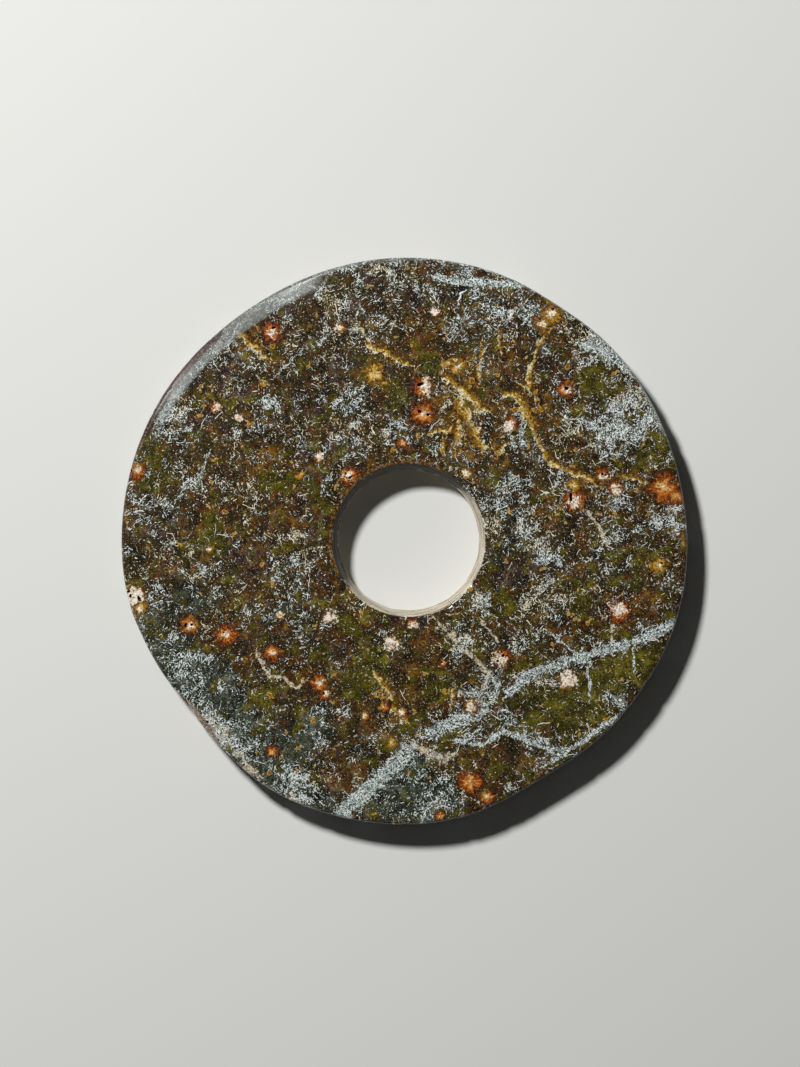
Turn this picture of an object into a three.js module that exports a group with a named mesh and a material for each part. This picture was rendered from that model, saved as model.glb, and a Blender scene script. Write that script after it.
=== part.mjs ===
// A jade bi: a flat stone ring with a hole drilled from both faces, ground by hand.
// One solid, in millimetres. +Z is the axis of the disc, and the underside lies on Z = 0.
// The disc's outline is a circle about the Z axis, worn flat or nicked at a few places,
// and its hole stands a little off that axis.
import * as THREE from "three";

// ---- driving dimensions ----
const OUTER_RADIUS = 95.2;
const THICKNESS = 12;
const HOLE_MOUTH_RADIUS = 25.7;
const HOLE_RIDGE_RADIUS = 23.6;
const HOLE_CENTRE = { x: 1.2, y: 0.3 };

// ---- the section's smaller sizes ----
const RIDGE_HEIGHT = 5.4; // of the middle of the ridge that the two drillings leave, above the underside
const RIDGE_BREADTH = 0.9;
const RIM_ROUND = 0.5; // worn rounding of the hole's two mouths
const TOP_ROUND = 1.3; // worn rounding of the disc's upper edge
const FOOT_ROUND = 1.7; // and of its lower edge
const EDGE_BULGE = 0.35; // the edge is fullest at half height
const TOP_RINGS = [92.6, 90.6, 88, 84, 72, 50]; // radii that carry the slopes of the upper face

// ---- how finely the circle is divided ----
const SEGMENTS = 160;
const ARC_STEPS = 2;

// Flats and nicks of the outline: middle (degrees from +X, anticlockwise), depth, half-width (degrees).
const OUTLINE_DIPS = [
  { at: 14, depth: 0.7, spread: 20 },
  { at: 57, depth: 0.9, spread: 9 },
  { at: 125, depth: 1.25, spread: 20 },
  { at: 202, depth: 0.7, spread: 8 },
  { at: 216, depth: 1.4, spread: 3 },
  { at: 217, depth: 3.0, spread: 14 },
  { at: 231, depth: 0.9, spread: 8 },
  { at: 300, depth: 3.0, spread: 14 },
  { at: 322, depth: 1.4, spread: 16 },
];

// Where the upper face falls to the edge: middle and half-width (degrees), reach inwards, fall at the edge.
const EDGE_SLOPES = [
  { at: 130, spread: 22, reach: 5.0, fall: 1.5 }, // a bevel left where the slab ran thin
  { at: 68, spread: 18, reach: 7.5, fall: 0.6 }, // a gentle slope beside it
  { at: 222, spread: 6, reach: 2.8, fall: 3.6 }, // an old chip
];

const smoothstep = THREE.MathUtils.smoothstep;
const bell = (angle, { at, spread }) => {
  const away = THREE.MathUtils.euclideanModulo(angle - at + 180, 360) - 180;
  return Math.exp(-((away / spread) ** 2));
};

// Points of a rounded corner, from one angle to another (degrees) about a centre.
function corner(radius, height, round, from, to) {
  const points = [];
  for (let i = 0; i <= ARC_STEPS; i++) {
    const a = THREE.MathUtils.degToRad(from + ((to - from) * i) / ARC_STEPS);
    points.push(new THREE.Vector2(radius + round * Math.cos(a), height + round * Math.sin(a)));
  }
  return points;
}

// The ring's section, closed on itself: from the ridge inside the hole down, out along the underside,
// up the edge, and back over the upper face into the hole.
function section() {
  const mouth = HOLE_MOUTH_RADIUS + RIM_ROUND;
  const edge = OUTER_RADIUS - EDGE_BULGE;
  const ridgeFoot = new THREE.Vector2(HOLE_RIDGE_RADIUS, RIDGE_HEIGHT - RIDGE_BREADTH / 2);
  const ridgeTop = new THREE.Vector2(HOLE_RIDGE_RADIUS, RIDGE_HEIGHT + RIDGE_BREADTH / 2);
  return [
    ridgeFoot,
    ...corner(mouth, RIM_ROUND, RIM_ROUND, 190, 270),
    ...corner(edge - FOOT_ROUND, FOOT_ROUND, FOOT_ROUND, -90, -5),
    new THREE.Vector2(OUTER_RADIUS, THICKNESS / 2),
    ...corner(edge - TOP_ROUND, THICKNESS - TOP_ROUND, TOP_ROUND, 5, 90),
    ...TOP_RINGS.map((radius) => new THREE.Vector2(radius, THICKNESS)),
    ...corner(mouth, THICKNESS - RIM_ROUND, RIM_ROUND, 90, 170),
    ridgeTop,
    ridgeFoot.clone(),
  ];
}

// Moves one point of the true ring to where it lies on the worn disc.
function wear(point) {
  const radius = Math.hypot(point.x, point.y);
  const angle = THREE.MathUtils.radToDeg(Math.atan2(point.y, point.x));
  const outwards = smoothstep(radius, HOLE_MOUTH_RADIUS, OUTER_RADIUS);

  // the rim follows the outline, the hole its own centre, and what is between them shares the two
  const dip = OUTLINE_DIPS.reduce((sum, d) => sum + d.depth * bell(angle, d), 0);
  const scale = 1 - (dip * outwards) / radius;
  const x = point.x * scale + HOLE_CENTRE.x * (1 - outwards);
  const y = point.y * scale + HOLE_CENTRE.y * (1 - outwards);

  // slopes and chips pull the upper edge down and leave the foot where it is
  const inwards = OUTER_RADIUS - radius;
  let fall = 0;
  for (const slope of EDGE_SLOPES) {
    fall += slope.fall * bell(angle, slope) * Math.max(0, 1 - inwards / slope.reach);
  }
  const z = point.z - (fall * point.z) / THICKNESS;
  point.set(x, y, z);
}

function discGeometry() {
  const geometry = new THREE.LatheGeometry(section(), SEGMENTS);
  geometry.rotateX(Math.PI / 2);
  const position = geometry.getAttribute("position");
  const point = new THREE.Vector3();
  for (let i = 0; i < position.count; i++) {
    wear(point.fromBufferAttribute(position, i));
    position.setXYZ(i, point.x, point.y, point.z);
  }
  geometry.computeVertexNormals();
  return geometry;
}

const jade = new THREE.MeshStandardMaterial({ color: 0x5a4f36, roughness: 0.42, metalness: 0 });

const disc = new THREE.Mesh(discGeometry(), jade);
disc.name = "bi_disc";

const object = new THREE.Group();
object.add(disc);

export default object;
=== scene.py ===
from math import cos, pi, radians, sin

import bmesh
import bpy
import numpy as np
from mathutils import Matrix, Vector


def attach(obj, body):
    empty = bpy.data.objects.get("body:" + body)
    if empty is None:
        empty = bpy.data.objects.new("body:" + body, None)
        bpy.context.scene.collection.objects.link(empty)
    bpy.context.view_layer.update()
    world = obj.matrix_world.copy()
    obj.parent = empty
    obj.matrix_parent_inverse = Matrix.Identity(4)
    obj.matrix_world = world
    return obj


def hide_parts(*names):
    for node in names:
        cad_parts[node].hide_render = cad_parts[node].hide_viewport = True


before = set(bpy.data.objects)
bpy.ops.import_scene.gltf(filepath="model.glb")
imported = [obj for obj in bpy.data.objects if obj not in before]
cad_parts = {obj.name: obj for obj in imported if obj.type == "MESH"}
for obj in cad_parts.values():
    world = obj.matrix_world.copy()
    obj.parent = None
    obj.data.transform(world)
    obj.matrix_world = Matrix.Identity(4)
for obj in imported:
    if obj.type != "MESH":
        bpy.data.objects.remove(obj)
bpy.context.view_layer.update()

# ---------------------------------------------------------------------------------------------
# The blank: a slab of nephrite sawn off a block and ground by hand into a flat ring. Its
# outline was never a true circle, and its edges are worn round. It is modelled in millimetres
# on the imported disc, which gives its thickness, outline and hole.
MM = 0.001
packed = np.array([v.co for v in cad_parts["bi_disc"].data.vertices]) / MM
packed_away = np.hypot(packed[:, 0], packed[:, 1])
packed_turn = np.degrees(np.arctan2(packed[:, 1], packed[:, 0]))

THICKNESS = packed[:, 2].max()
SPOKES = np.unique(np.round(packed_turn[packed_away > 60]))
OUTLINE = np.array([packed_away[np.abs(packed_turn - spoke) < 1.2].max() for spoke in SPOKES])
OUTER_RADIUS = OUTLINE.max()

drilled = packed[packed_away < 40]
HOLE_CENTRE = (drilled.max(0) + drilled.min(0))[:2] / 2
drilled_away = np.hypot(*(drilled[:, :2] - HOLE_CENTRE).T)
RIDGE_RADIUS = drilled_away.min()
RIDGE_HEIGHT = drilled[drilled_away < RIDGE_RADIUS + 0.1, 2].mean()
MOUTH_RADIUS = drilled_away[drilled[:, 2] > THICKNESS - 0.6].min()

SEGMENTS = 480
EDGE_BULGE = 0.35
RIDGE_BREADTH = 0.9
TOP_ROUND = 1.3
FOOT_ROUND = 1.7
LIP_ROUND = 0.35

# Slopes of the upper edge: middle and half-width (degrees), reach inwards and fall at the edge.
BEVEL = (130, 22, 5.0, 1.5)
GENTLE_SLOPE = (68, 18, 7.5, 0.6)
CHIP = (222, 6, 2.8, 3.6)


def smooth(value, low, high):
    """0 below low, 1 above high, and an S-curve between them."""
    share = np.clip((value - low) / (high - low), 0, 1)
    return share * share * (3 - 2 * share)


def bell(turn, middle, spread):
    """1 at one angle round the disc, falling to nothing on both sides of it."""
    away = (turn - middle + 180) % 360 - 180
    return np.exp(-((away / spread) ** 2))


def uneven(turn, waves, seed):
    """An irregular line round the disc, about -1 to 1: a handful of sines that close on themselves."""
    draw = np.random.default_rng(seed)
    total = np.zeros_like(turn, dtype=float)
    for _ in range(7):
        count = draw.integers(max(1, waves // 2), waves * 2)
        total += np.sin(np.radians(turn) * count + draw.uniform(0, 2 * pi))
    return total / 3


def corner_of(wire, radius, height):
    return min(wire.verts, key=lambda v: (v.co.x - radius) ** 2 + (v.co.z - height) ** 2)


stone = bmesh.new()
edge_radius = OUTER_RADIUS - EDGE_BULGE
section = [
    (RIDGE_RADIUS, RIDGE_HEIGHT - RIDGE_BREADTH / 2),
    (MOUTH_RADIUS, 0),
    (edge_radius, 0),
    (OUTER_RADIUS, THICKNESS / 2),
    (edge_radius, THICKNESS),
    (MOUTH_RADIUS, THICKNESS),
    (MOUTH_RADIUS - 0.50, THICKNESS - 0.65),
    (MOUTH_RADIUS - 0.68, THICKNESS - 1.70),
    (MOUTH_RADIUS - 0.98, THICKNESS - 1.95),
    (RIDGE_RADIUS + 0.50, RIDGE_HEIGHT + 1.00),
    (RIDGE_RADIUS, RIDGE_HEIGHT + RIDGE_BREADTH / 2),
]
corners = [stone.verts.new((radius, 0, height)) for radius, height in section]
for here, there in zip(corners, corners[1:] + corners[:1]):
    stone.edges.new((here, there))
for radius, height, rounding, steps in (
    (edge_radius, THICKNESS, TOP_ROUND, 6),
    (edge_radius, 0, FOOT_ROUND, 3),
    (MOUTH_RADIUS, THICKNESS, LIP_ROUND, 3),
    (MOUTH_RADIUS, 0, LIP_ROUND, 2),
):
    bmesh.ops.bevel(stone, geom=[corner_of(stone, radius, height)], offset=rounding, segments=steps,
                    profile=0.5, affect="VERTICES", material=-1)

# Rings that keep the slopes' upper ends crisp, and then even rings between them.
for reach in (BEVEL[2] + 0.35, BEVEL[2], BEVEL[2] - 0.35, GENTLE_SLOPE[2], CHIP[2]):
    bmesh.ops.bisect_plane(stone, geom=stone.verts[:] + stone.edges[:],
                           plane_co=(OUTER_RADIUS - reach, 0, 0), plane_no=(1, 0, 0), dist=1e-4)


def spacing_at(edge):
    """How far apart the rings lie along one stretch of the section."""
    middle = (edge.verts[0].co + edge.verts[1].co) / 2
    if middle.z > THICKNESS - 0.01:
        return 1.25
    if middle.z < 0.01:
        return 2.4
    if middle.x > MOUTH_RADIUS + 1:
        return 1.0
    return 0.25 if middle.z > RIDGE_HEIGHT else 0.6


for edge in stone.edges[:]:
    cuts = int(edge.calc_length() / spacing_at(edge))
    if cuts:
        bmesh.ops.subdivide_edges(stone, edges=[edge], cuts=cuts)
bmesh.ops.spin(stone, geom=stone.verts[:] + stone.edges[:], cent=(0, 0, 0), axis=(0, 0, 1),
               angle=2 * pi, steps=SEGMENTS, use_merge=True)
bmesh.ops.remove_doubles(stone, verts=stone.verts, dist=1e-4)
bmesh.ops.recalc_face_normals(stone, faces=stone.faces)


def points_of(mesh):
    return np.array([v.co for v in mesh.verts])


def move_to(mesh, points):
    for vertex, point in zip(mesh.verts, points):
        vertex.co = point


def polar(points):
    """Angle in degrees and distance from the disc's own axis."""
    return np.degrees(np.arctan2(points[:, 1], points[:, 0])), np.hypot(points[:, 0], points[:, 1])


# The hole was drilled a little off the middle: the rim follows the outline, the hole its own
# centre, and what lies between them shares the two.
points = points_of(stone)
turn, true_radius = polar(points)
outwards = smooth(true_radius, MOUTH_RADIUS, OUTER_RADIUS)
dip = OUTER_RADIUS - np.interp(turn, SPOKES, OUTLINE, period=360)
points[:, :2] *= (1 - dip * outwards / true_radius)[:, None]
points[:, :2] += HOLE_CENTRE * (1 - outwards)[:, None]
move_to(stone, points)
inwards_layer = stone.verts.layers.float.new("inwards")
for vertex, radius in zip(stone.verts, true_radius):
    vertex[inwards_layer] = OUTER_RADIUS - radius

# Marks of the stone are given in millimetres on the upper face. First the rusty spots round weathered
# grains: x, y, radius, redness (0 gold, 1 rust), share of cream heart.
SPOTS = [
    (-44.5, 69.8, 3.6, 0.8, 0.50), (-63.2, 44.7, 2.2, 0.5, 0.75), (-55.7, 41.3, 1.8, 0.3, 0.80),
    (-21.5, 71.5, 2.2, 0.2, 0.55), (-10.4, 56.0, 4.2, 0.1, 0.00), (-89.6, 23.6, 3.2, 0.7, 0.30),
    (-18.7, 21.8, 3.8, 0.7, 0.35), (-35.1, 22.1, 1.8, 0.3, 0.30), (-28.8, 27.8, 1.8, 0.2, 0.85),
    (6.3, 51.6, 4.2, 0.6, 0.55), (6.1, 42.5, 4.4, 0.7, 0.25), (10.4, 76.5, 1.9, 0.5, 0.75),
    (53.9, 50.7, 3.2, 0.7, 0.40), (49.0, 76.0, 4.0, 0.2, 0.35), (45.5, 72.5, 3.0, 0.3, 0.40),
    (35.5, 39.1, 3.0, 0.4, 0.70), (66.3, 22.0, 2.8, 0.6, 0.45), (70.3, 17.6, 3.4, 0.5, 0.55),
    (56.8, 13.7, 4.2, 0.7, 0.50), (56.5, 18.6, 2.6, 0.0, 0.20), (-72.1, -28.2, 3.4, 0.5, 0.40),
    (-60.0, -31.4, 4.0, 0.9, 0.28), (-90.0, -18.2, 3.8, 0.2, 0.85), (-88.5, -22.3, 2.8, 0.0, 0.35),
    (-65.2, -2.7, 1.5, 0.0, 0.50), (-25.8, -25.6, 2.2, 0.1, 0.95), (-4.2, -34.0, 2.7, 0.1, 0.90),
    (-41.8, -24.8, 1.8, 0.2, 0.80), (-44.5, -37.5, 3.2, 0.7, 0.25), (-28.8, -47.6, 3.2, 0.8, 0.30),
    (-26.8, -51.5, 2.2, 0.6, 0.45), (-13.4, -58.4, 1.7, 0.1, 0.40), (-4.4, -67.6, 2.3, 0.0, 0.15),
    (2.6, -27.6, 2.1, 0.5, 0.70), (71.6, -23.4, 4.2, 0.9, 0.62), (32.2, -39.3, 3.6, 0.4, 0.65),
    (12.6, -41.1, 1.7, 0.7, 0.40), (54.2, -46.8, 3.4, 0.0, 1.00), (85.0, -8.2, 3.2, 0.1, 0.25),
    (22.3, -55.4, 3.2, 0.3, 0.65), (21.7, -80.6, 4.4, 0.9, 0.10), (11.6, -92.2, 2.2, 0.6, 0.20),
    (27.4, -85.6, 3.0, 0.6, 0.15), (20.5, 22.5, 2.2, 0.1, 0.60), (-1.0, -57.5, 2.0, 0.3, 0.50),
    (-7.0, -55.5, 2.2, 0.6, 0.20), (-44.3, -70.5, 2.4, 1.0, 0.00), (86.5, 18.0, 5.4, 0.8, 0.10),
    (91.0, 15.0, 3.4, 0.9, 0.05), (-1.0, 32.8, 2.0, 0.8, 0.20), (17.5, 58.0, 3.0, 0.1, 0.20),
]
# Pits where a grain has fallen out: x, y, half-width, half-length, turn of the long way (degrees),
# depth.
PITS = [
    (-91.7, 23.2, 0.55, 0.65, 60, 1.5), (-91.9, -18.4, 0.42, 0.55, 70, 1.2),
    (-89.0, -19.3, 0.50, 0.85, 115, 1.4), (-92.5, -16.9, 0.40, 0.60, 20, 1.0),
    (-73.4, -28.2, 0.42, 0.70, 60, 1.3), (-71.4, -28.0, 0.40, 0.45, 0, 1.1),
    (5.1, 52.4, 0.55, 1.15, 20, 1.6), (4.9, 43.3, 0.50, 0.60, 0, 1.2), (7.6, 42.2, 0.40, 0.50, 0, 1.0),
    (54.0, 51.0, 0.55, 0.75, 10, 1.6), (66.0, 22.3, 0.38, 0.50, 30, 1.1),
    (67.1, 22.1, 0.35, 0.40, 0, 1.0), (55.5, 14.7, 0.50, 1.30, 95, 1.4),
    (-18.4, 21.2, 0.38, 0.70, 30, 1.0), (-19.8, 22.6, 0.32, 0.45, 80, 0.8),
    (-44.0, 71.3, 0.40, 0.70, 10, 0.9), (32.8, -38.3, 0.42, 0.60, 40, 1.0),
    (31.0, -40.2, 0.35, 0.45, 0, 0.8), (-27.2, -51.0, 0.35, 0.60, 110, 0.8),
    (-57.2, -72.9, 0.60, 1.60, 135, 0.9), (-66.1, -60.6, 0.35, 0.50, 0, 0.8),
    (12.3, -40.6, 0.30, 0.40, 0, 0.7), (11.6, -36.0, 0.3, 0.4, 30, 0.6),
    (49.5, 77.6, 0.35, 0.50, 20, 0.7), (85.8, -7.4, 0.35, 0.45, 0, 0.7),
    (-60.7, -30.6, 0.3, 0.4, 0, 0.6),
]


def refine(mesh, near, longest, passes):
    """Splits every edge whose middle is near a mark, until none there is longer than longest."""
    for _ in range(passes):
        edges = mesh.edges[:]
        ends = np.array([(*e.verts[0].co, *e.verts[1].co) for e in edges])
        middles = (ends[:, :3] + ends[:, 3:]) / 2
        lengths = np.linalg.norm(ends[:, :3] - ends[:, 3:], axis=1)
        chosen = np.flatnonzero(near(middles) & (lengths > longest))
        if not len(chosen):
            return
        bmesh.ops.subdivide_edges(mesh, edges=[edges[i] for i in chosen], cuts=1, use_grid_fill=True)
        bmesh.ops.triangulate(mesh, faces=[f for f in mesh.faces if len(f.verts) > 4])


def near_marks(marks, margin):
    def near(middles):
        found = np.zeros(len(middles), bool)
        for mark in marks:
            apart = np.hypot(middles[:, 0] - mark[0], middles[:, 1] - mark[1])
            found |= apart < mark[2] + margin
        return found & (middles[:, 2] > THICKNESS - 2.5)
    return near


# Small chips knocked off both edges and the lip: angle, half-width (degrees), reach inwards and depth.
draw = np.random.default_rng(12)
NICKS = [(draw.uniform(0, 360), draw.uniform(0.5, 1.4), draw.uniform(0.6, 1.5), draw.uniform(0.15, 0.5))
         for _ in range(30)]
FOOT_NICKS = [(draw.uniform(0, 360), draw.uniform(0.7, 2.0), draw.uniform(0.8, 2.2), draw.uniform(0.2, 0.6))
              for _ in range(16)]
LIP_NICKS = [(draw.uniform(0, 360), draw.uniform(1.2, 3.6), draw.uniform(0.3, 0.8), draw.uniform(0.15, 0.4))
             for _ in range(14)]


def near_edge(nicks, top):
    def near(middles):
        turn, away = polar(middles)
        inwards = np.interp(turn, SPOKES, OUTLINE, period=360) - away
        found = np.zeros(len(middles), bool)
        for middle, half, reach, _ in nicks:
            found |= (np.abs((turn - middle + 180) % 360 - 180) < half + 0.4) & (inwards < reach + 0.5)
        return found & ((middles[:, 2] > THICKNESS - 2.2) if top else (middles[:, 2] < 2.2))
    return near


refine(stone, near_marks(SPOTS, 0.4), 0.75, 2)
refine(stone, near_marks([(x, y, length) for x, y, _, length, _, _ in PITS], 0.35), 0.24, 4)
refine(stone, near_edge(NICKS, True), 0.5, 2)
refine(stone, near_edge(FOOT_NICKS, False), 0.7, 1)
refine(stone, near_edge([(CHIP[0], CHIP[1] * 1.4, CHIP[2] + 0.8, 0)], True), 0.36, 3)
bmesh.ops.triangulate(stone, faces=stone.faces)

points = points_of(stone)
inwards = np.array([v[inwards_layer] for v in stone.verts])
turn, radius = polar(points)
upper = points[:, 2] / THICKNESS

# The bevel along one side and a gentler slope beside it pull the upper edge down.
fall = np.zeros(len(points))
for middle, spread, reach, depth in (BEVEL, GENTLE_SLOPE):
    fall += depth * bell(turn, middle, spread) * np.maximum(0, 1 - inwards / reach)

# The old chip: a scallop of ledges one below the other.
LEDGES = 4
middle, spread, reach, depth = CHIP
scallop = bell(turn, middle, spread) - (inwards + 0.18 * uneven(turn, 30, 4)) / reach
stair = np.clip(scallop, 0, 1) * LEDGES
level = np.floor(stair)
fall += depth * (level + smooth(stair - level, 0.5, 1.0)) / LEDGES
points[:, 2] -= fall * upper


def nick_share(nicks, turn, inwards):
    """How deep in the nearest nick a point lies, 0 to 1, times the nick's depth."""
    total = np.zeros(len(turn))
    for middle, half, reach, depth in nicks:
        away = (turn - middle + 180) % 360 - 180
        apart = np.hypot(away / half, inwards / reach) * (1 + 0.2 * uneven(turn, 90, int(middle)))
        total = np.maximum(total, depth * smooth(1 - apart, 0, 0.5))
    return total


nicked = nick_share(NICKS, turn, inwards) * smooth(upper, 0.75, 0.95)
points[:, 2] -= nicked
foot_nicked = nick_share(FOOT_NICKS, turn, inwards) * smooth(1 - upper, 0.75, 0.95)
points[:, 2] += foot_nicked
points[:, :2] *= (1 - 0.5 * (nicked + foot_nicked) / radius)[:, None]

# Grinding by hand left the upper face a few hundredths of a millimetre out of true.
SWELL_DEPTH = 0.035
SWELL_RANGE = 0.02
DEEPEST_SWELL = 0.08
swell = uneven(turn, 2, 31) * np.sin(radius / 14.0) + uneven(turn, 3, 32) * np.cos(radius / 11.0)
points[:, 2] -= np.clip(SWELL_DEPTH + SWELL_RANGE * swell, 0, DEEPEST_SWELL) * smooth(upper, 0.97, 1.0)

# The bore's walls keep the turning marks of the drill, its waist is broken, and its lip is worn.
LEDGE_WOBBLE = 0.28
FINE_GROOVES = (0.045, 0.95)
WIDE_GROOVES = (0.03, 1.6)
WAIST_BREAK = 0.16
LIP_WEAR = 0.10
bore = points[:, :2] - HOLE_CENTRE
bore_turn = np.degrees(np.arctan2(bore[:, 1], bore[:, 0]))
bore_away = np.hypot(bore[:, 0], bore[:, 1])
height = points[:, 2].copy()
in_bore = (bore_away < MOUTH_RADIUS + 0.05) & (height > 0.05) & (height < THICKNESS - 0.12)
wall = smooth(THICKNESS - height, 0.2, 1.2) * smooth(height, 0.3, 1.5) * in_bore
wobble = LEDGE_WOBBLE * uneven(bore_turn, 2, 41) * smooth(height, RIDGE_HEIGHT, RIDGE_HEIGHT + 1.5)
points[:, 2] += wobble * wall
depth, pitch = FINE_GROOVES
grooves = depth * np.sin(2 * pi * height / pitch + 1.2 * uneven(bore_turn, 2, 42))
depth, pitch = WIDE_GROOVES
grooves += depth * np.sin(2 * pi * height / pitch + 1.5 * uneven(bore_turn, 3, 43))
at_waist = np.exp(-((height - RIDGE_HEIGHT) / 0.8) ** 2) * in_bore
broken = WAIST_BREAK * np.maximum(0, uneven(bore_turn, 12, 44)) * at_waist
worn_lip = LIP_WEAR * uneven(bore_turn, 7, 45) * smooth(bore_away, RIDGE_RADIUS + 1, MOUTH_RADIUS)
worn_lip *= smooth(MOUTH_RADIUS + 2.5 - bore_away, 0, 2.5) * (height > THICKNESS / 2)
lip_nicked = nick_share(LIP_NICKS, bore_turn, np.abs(bore_away - MOUTH_RADIUS)) * smooth(upper, 0.9, 0.97)
points[:, 2] -= lip_nicked
points[:, :2] += bore * ((grooves * wall + broken + worn_lip) / bore_away)[:, None]

# Pits, with steep ragged walls.
RAGGEDNESS = 0.16
depth_here = np.zeros(len(points))
pit_share = np.full(len(points), -2.0)
for x, y, half, length, lean, depth in PITS:
    dx, dy = points[:, 0] - x, points[:, 1] - y
    along = dx * cos(radians(lean)) + dy * sin(radians(lean))
    across = -dx * sin(radians(lean)) + dy * cos(radians(lean))
    apart = np.hypot(along / length, across / half)
    around = np.degrees(np.arctan2(across, along))
    apart = apart / (1 + RAGGEDNESS * uneven(around, 3, int(100 + x)))
    on_top = upper > 0.7
    depth_here = np.maximum(depth_here, depth * smooth(1.15 - apart, 0, 0.55) * on_top)
    pit_share = np.maximum(pit_share, np.where(on_top, 1 - apart, -2))
points[:, 2] -= depth_here

# Nothing stands proud of the blank that the disc was cut from.
HAIR = 0.001
points = np.clip(points, packed.min(0) + (HAIR, HAIR, 0), packed.max(0) - HAIR)
move_to(stone, points)

for vertex in stone.verts:
    vertex.co *= MM
mesh = bpy.data.meshes.new("jade_disc")
stone.to_mesh(mesh)
stone.free()
mesh.polygons.foreach_set("use_smooth", [True] * len(mesh.polygons))
disc = bpy.data.objects.new("jade_disc", mesh)
bpy.context.scene.collection.objects.link(disc)

count = len(mesh.vertices)
flat = np.empty(count * 3)
mesh.vertices.foreach_get("co", flat)
place = flat.reshape(-1, 3) / MM
x, y, z = place.T

# Markings run down into the stone, and slantwise, so the underside carries other parts of them.
SLANT_X = -0.7
SLANT_Y = 0.5
deep = THICKNESS - z
vein_x, vein_y = x + SLANT_X * deep, y + SLANT_Y * deep


def field(name, values):
    layer = mesh.attributes.new(name, "FLOAT", "POINT")
    layer.data.foreach_set("value", values.astype(np.float32))


def lines_near(name, lines):
    """Keeps each point's signed and plain distance from the nearest line, and that line's half-width."""
    across = np.full(count, 50.0)
    half_width = np.ones(count)
    for half, *route in lines:
        for (ax, ay), (bx, by) in zip(route, route[1:]):
            length = np.hypot(bx - ax, by - ay)
            along = np.clip(((vein_x - ax) * (bx - ax) + (vein_y - ay) * (by - ay)) / length ** 2, 0, 1)
            apart = np.hypot(vein_x - ax - along * (bx - ax), vein_y - ay - along * (by - ay))
            side = np.sign((bx - ax) * (vein_y - ay) - (by - ay) * (vein_x - ax))
            closer = apart < np.abs(across)
            across[closer] = (apart * np.where(side < 0, -1, 1))[closer]
            half_width[closer] = half
    field(name + "_across", across)
    field(name + "_apart", np.abs(across))
    field(name + "_half", half_width)


# Veins and seams: half-width, and then the route.
VEINS = [
    (1.7, (91, -27), (84, -31), (76, -34), (70, -35.5), (62, -38), (55, -39.7), (48, -42), (41, -45),
     (35, -51)),
    (2.4, (26, -56), (22, -59), (15, -61), (9, -64)),
    (3.0, (1, -70), (-7, -78), (-15, -85.5), (-21, -91)),
    (1.3, (11, 88), (18, 86.6), (28, 86.4), (38, 86)),
    (1.6, (60, 65.5), (66, 65), (71, 60.5), (74, 57)), (0.5, (61.6, -38), (61.4, -45), (61.8, -52)),
    (0.4, (76.4, -35), (76.3, -43)),
    (0.9, (17, -67), (26, -68), (33, -64), (40, -66), (46, -69), (54, -70)),
    (0.8, (49, -74), (58, -68), (66, -62), (71, -59)), (0.35, (-66, 29), (-67.5, 24.5), (-69, 19.5)),
    (0.35, (-39, 60), (-42.5, 56)), (0.3, (49, -31.5), (56, -37)),
]
CREAM_SEAMS = [
    (0.5, (10, -26), (13.5, -30)), (1.3, (15.3, -31.5), (17.3, -33.5)),
    (0.7, (17.3, -34), (19.5, -36.5), (22, -39), (28, -44)),
    (0.4, (27.5, -44), (26.5, -48), (25.5, -52), (26.5, -57)), (0.4, (26, -27), (29, -31), (31, -34)),
    (0.5, (-49, -38), (-47, -43), (-45, -45.5), (-40, -46), (-37, -49), (-34, -47)),
    (1.0, (3, -68), (7, -71), (11, -73), (15, -72)), (0.5, (70, -26.5), (69, -33)),
    (0.6, (60, 10.5), (64, 6.5), (67, 0.5)), (0.4, (-22, 71), (-15, 71), (-12, 67)),
    (1.4, (-66, -59.5), (-64, -61.5)), (1.7, (-61.5, -63), (-60, -66.5)),
    (1.3, (-56.5, -71.5), (-54.5, -72)), (1.4, (-54, -75.5), (-50.5, -77.5)),
]
GOLD_SEAMS = [
    (0.7, (46.5, 68), (45, 65), (43.3, 62), (42.2, 58), (41.6, 54), (42, 51)),
    (1.7, (37.5, 49), (39.8, 46), (41.8, 42), (43.2, 38.5)),
    (0.8, (43.2, 38.5), (44.6, 34), (46.3, 31), (48, 27.5)),
    (0.9, (48, 27.5), (52, 24.7), (56, 23.2), (61.5, 21.5), (66, 19)),
    (1.1, (33, 49.2), (36, 49), (38.5, 48)),
    (0.8, (70, 19.5), (73, 21.7), (79, 20.5), (84, 18.5), (91, 14)),
    (1.6, (15, 54.5), (19, 51.5), (22.5, 48.3), (26, 45.3)), (1.2, (-11, 65.5), (-5, 63), (0, 60)),
    (1.0, (-56, 71), (-51, 66), (-46.5, 62)), (0.9, (24.4, 56), (24.3, 60), (25, 64.5)),
    (1.8, (24.6, 32), (23.3, 35.5), (21, 39.5), (18.6, 43.5), (17.3, 46)),
    (0.8, (10, 36.6), (14.5, 38.3)), (0.8, (14, 60.2), (17, 61.4), (19.5, 60.5)),
    (1.4, (16.6, 33.8), (17.2, 38.2)), (0.8, (13, 33.5), (13, 30.5)),
    (0.7, (-9.5, -44), (-8, -46.5), (-6.2, -49), (-4.5, -52)),
    (1.1, (-4.5, -55.5), (-1.5, -56.5), (0.5, -59.5)), (0.6, (16.3, -50.4), (15.4, -54.8)),
    (0.9, (31.5, 69), (32, 65)), (0.8, (31.5, 30.5), (35, 33.5)),
]
lines_near("vein", VEINS)
lines_near("cream", CREAM_SEAMS)
lines_near("gold", GOLD_SEAMS)

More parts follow.
